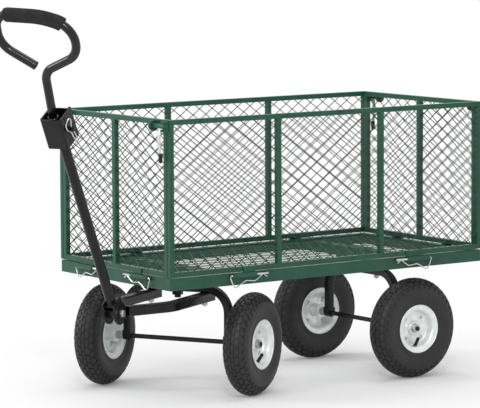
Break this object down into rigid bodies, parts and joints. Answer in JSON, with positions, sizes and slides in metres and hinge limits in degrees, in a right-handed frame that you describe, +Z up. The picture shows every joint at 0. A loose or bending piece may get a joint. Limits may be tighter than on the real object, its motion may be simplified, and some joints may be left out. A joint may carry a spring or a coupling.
{
  "type": "garden cart",
  "caption": "Four-wheeled garden cart with a mesh-floored steel tray, fold-down mesh sides, a steered front axle and a pull handle on a tilting drawbar.",
  "frame": {"origin": "on the floor below the middle of the bed tray, between the four wheels", "axes": "+X towards the tail, the drawbar being at -X; -Y towards the near long side; +Z up"},
  "size_m": [1.529, 0.7225, 1.0018],
  "materials": {
    "green_powder_coat": "satin powder coat, mid green",
    "dark_net_wire": "dark coated wire, satin",
    "zinc_wire": "bright zinc-plated spring wire",
    "zinc_lever": "galvanised, dull",
    "black_powder_coat": "satin black powder coat",
    "black_gloss_tube": "gloss black paint",
    "foam": "matt dark grey foam",
    "zinc_hardware": "zinc-plated steel",
    "black_nylon": "matt black nylon",
    "tyre_rubber": "matt black rubber",
    "zinc_rim": "zinc-plated pressed steel",
    "valve_rubber": "matt black rubber"
  },
  "bodies": {
    "chassis": {"bed_frame": "green_powder_coat", "bed_floor": "green_powder_coat", "front_bolster": "green_powder_coat", "rear_bolster": "green_powder_coat", "bed_hinge_knuckles": "green_powder_coat", "rear_arch": "black_powder_coat", "rear_axle_rod": "black_powder_coat", "rear_axle_hardware": "zinc_hardware", "rear_arch_bolts": "zinc_hardware", "kingpin": "zinc_hardware"},
    "steering": {"front_arch": "black_powder_coat", "front_axle_rod": "black_powder_coat", "front_axle_hardware": "zinc_hardware", "turntable_washer": "black_nylon", "steering_yoke": "black_powder_coat", "yoke_bolts": "zinc_hardware"},
    "drawbar": {"drawbar": "black_powder_coat", "drawbar_fork": "black_powder_coat", "drawbar_pivot_bolt": "zinc_hardware", "hitch_clevis": "black_powder_coat", "hitch_pin": "zinc_hardware", "hitch_pin_clip": "zinc_wire"},
    "handle": {"handle_tube": "black_gloss_tube", "handle_grip": "foam"},
    "near_panel": {"near_panel_frame": "green_powder_coat", "near_panel_net": "dark_net_wire"},
    "near_lock_pin_pair": {"near_lock_pins": "zinc_wire"},
    "rear_panel": {"rear_panel_frame": "green_powder_coat", "rear_panel_net": "dark_net_wire"},
    "rear_lock_pin_pair": {"rear_lock_pins": "zinc_wire"},
    "far_panel": {"far_panel_frame": "green_powder_coat", "far_panel_net": "dark_net_wire"},
    "far_lock_pin_pair": {"far_lock_pins": "zinc_wire"},
    "front_panel": {"front_panel_frame": "green_powder_coat", "front_panel_net": "dark_net_wire"},
    "front_lock_pin_pair": {"front_lock_pins": "zinc_wire"},
    "front_near_latch": {"front_near_latch_lever": "zinc_lever"},
    "front_far_latch": {"front_far_latch_lever": "zinc_lever"},
    "rear_near_latch": {"rear_near_latch_lever": "zinc_lever"},
    "rear_far_latch": {"rear_far_latch_lever": "zinc_lever"},
    "front_near_wheel": {"front_near_wheel_tyre": "tyre_rubber", "front_near_wheel_rim": "zinc_rim", "front_near_wheel_hub": "zinc_rim", "front_near_wheel_rim_bolts": "zinc_hardware", "front_near_wheel_valve_stem": "valve_rubber"},
    "front_far_wheel": {"front_far_wheel_tyre": "tyre_rubber", "front_far_wheel_rim": "zinc_rim", "front_far_wheel_hub": "zinc_rim", "front_far_wheel_rim_bolts": "zinc_hardware", "front_far_wheel_valve_stem": "valve_rubber"},
    "rear_near_wheel": {"rear_near_wheel_tyre": "tyre_rubber", "rear_near_wheel_rim": "zinc_rim", "rear_near_wheel_hub": "zinc_rim", "rear_near_wheel_rim_bolts": "zinc_hardware", "rear_near_wheel_valve_stem": "valve_rubber"},
    "rear_far_wheel": {"rear_far_wheel_tyre": "tyre_rubber", "rear_far_wheel_rim": "zinc_rim", "rear_far_wheel_hub": "zinc_rim", "rear_far_wheel_rim_bolts": "zinc_hardware", "rear_far_wheel_valve_stem": "valve_rubber"}
  },
  "joints": [
    {"name": "front_near_wheel_spin", "type": "hinge", "parent": "steering", "child": "front_near_wheel", "pos_m": [-0.2008, -0.18455, 0.13], "axis": [-0.4772, 0.8788, 0], "continuous": true},
    {"name": "front_far_wheel_spin", "type": "hinge", "parent": "steering", "child": "front_far_wheel", "pos_m": [-0.4012, 0.18455, 0.13], "axis": [-0.4772, 0.8788, 0], "continuous": true},
    {"name": "rear_near_wheel_spin", "type": "hinge", "parent": "chassis", "child": "rear_near_wheel", "pos_m": [0.291, -0.21, 0.13], "axis": [0, 1, 0], "continuous": true},
    {"name": "rear_far_wheel_spin", "type": "hinge", "parent": "chassis", "child": "rear_far_wheel", "pos_m": [0.291, 0.21, 0.13], "axis": [0, 1, 0], "continuous": true},
    {"name": "steer", "type": "hinge", "parent": "chassis", "child": "steering", "pos_m": [-0.301, 0, 0.273], "axis": [0, 0, 1], "range_deg": [-68.5, 11.5]},
    {"name": "drawbar_tilt", "type": "hinge", "parent": "steering", "child": "drawbar", "pos_m": [-0.60155, -0.16319, 0.24045], "axis": [0.4772, -0.8788, 0], "range_deg": [-25, 70]},
    {"name": "handle_fold", "type": "hinge", "parent": "drawbar", "child": "handle", "pos_m": [-0.83654, -0.29077, 0.71305], "axis": [-0.4772, 0.8788, 0], "range_deg": [0, 100]},
    {"name": "near_panel_fold", "type": "hinge", "parent": "chassis", "child": "near_panel", "pos_m": [0, -0.2545, 0.317], "axis": [1, 0, 0], "range_deg": [0, 135]},
    {"name": "near_lock_pin_turn", "type": "hinge", "parent": "chassis", "child": "near_lock_pin_pair", "pos_m": [0, -0.2545, 0.317], "axis": [-1, 0, 0], "range_deg": [0, 45]},
    {"name": "rear_panel_fold", "type": "hinge", "parent": "chassis", "child": "rear_panel", "pos_m": [0.4995, 0, 0.317], "axis": [0, 1, 0], "range_deg": [0, 135]},
    {"name": "rear_lock_pin_turn", "type": "hinge", "parent": "chassis", "child": "rear_lock_pin_pair", "pos_m": [0.4995, 0, 0.317], "axis": [0, -1, 0], "range_deg": [0, 45]},
    {"name": "far_panel_fold", "type": "hinge", "parent": "chassis", "child": "far_panel", "pos_m": [0, 0.2545, 0.317], "axis": [-1, 0, 0], "range_deg": [0, 135]},
    {"name": "far_lock_pin_turn", "type": "hinge", "parent": "chassis", "child": "far_lock_pin_pair", "pos_m": [0, 0.2545, 0.317], "axis": [1, 0, 0], "range_deg": [0, 45]},
    {"name": "front_panel_fold", "type": "hinge", "parent": "chassis", "child": "front_panel", "pos_m": [-0.4995, 0, 0.317], "axis": [0, -1, 0], "range_deg": [0, 35]},
    {"name": "front_lock_pin_turn", "type": "hinge", "parent": "chassis", "child": "front_lock_pin_pair", "pos_m": [-0.4995, 0, 0.317], "axis": [0, 1, 0], "range_deg": [0, 45]},
    {"name": "front_near_latch_turn", "type": "hinge", "parent": "front_panel", "child": "front_near_latch", "pos_m": [-0.503, -0.198, 0.69575], "axis": [0, 1, 0], "range_deg": [0, 110]},
    {"name": "front_far_latch_turn", "type": "hinge", "parent": "front_panel", "child": "front_far_latch", "pos_m": [-0.503, 0.198, 0.69575], "axis": [0, 1, 0], "range_deg": [0, 110]},
    {"name": "rear_near_latch_turn", "type": "hinge", "parent": "rear_panel", "child": "rear_near_latch", "pos_m": [0.503, -0.198, 0.69575], "axis": [0, -1, 0], "range_deg": [0, 110]},
    {"name": "rear_far_latch_turn", "type": "hinge", "parent": "rear_panel", "child": "rear_far_latch", "pos_m": [0.503, 0.198, 0.69575], "axis": [0, -1, 0], "range_deg": [0, 110]}
  ]
}
